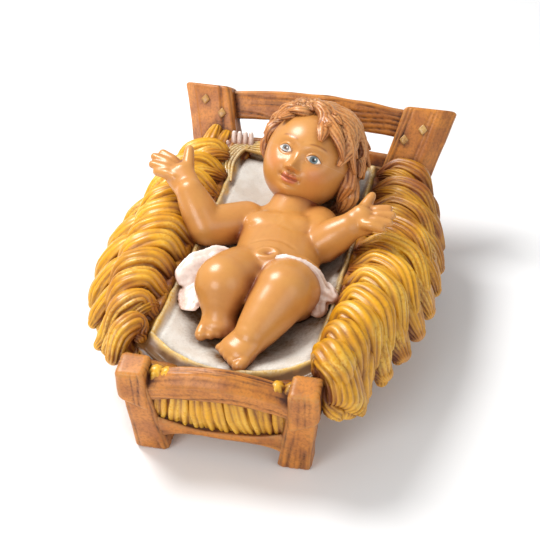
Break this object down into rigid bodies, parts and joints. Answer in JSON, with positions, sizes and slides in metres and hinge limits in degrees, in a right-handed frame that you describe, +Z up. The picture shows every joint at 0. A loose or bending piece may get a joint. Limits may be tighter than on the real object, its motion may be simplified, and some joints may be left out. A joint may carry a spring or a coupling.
{
  "type": "nativity infant in manger figurine",
  "caption": "Painted infant figure with open arms and a loincloth, lying loose in its nest on the cloth of a straw-filled timber manger.",
  "frame": {"origin": "middle of the box round the whole object, on the ground that the feet stand on", "axes": "+Y to the head end, +X to the right for someone at the foot end, +Z up"},
  "size_m": [0.1016, 0.1346, 0.0621],
  "materials": {
    "painted_infant": "glossy hand-painted flesh, brown wash in the creases",
    "painted_manger": "glossy hand-painted straw, wood and cloth with a brown wash"
  },
  "bodies": {
    "root": {"infant": "painted_infant", "manger": "painted_manger"}
  },
  "joints": []
}
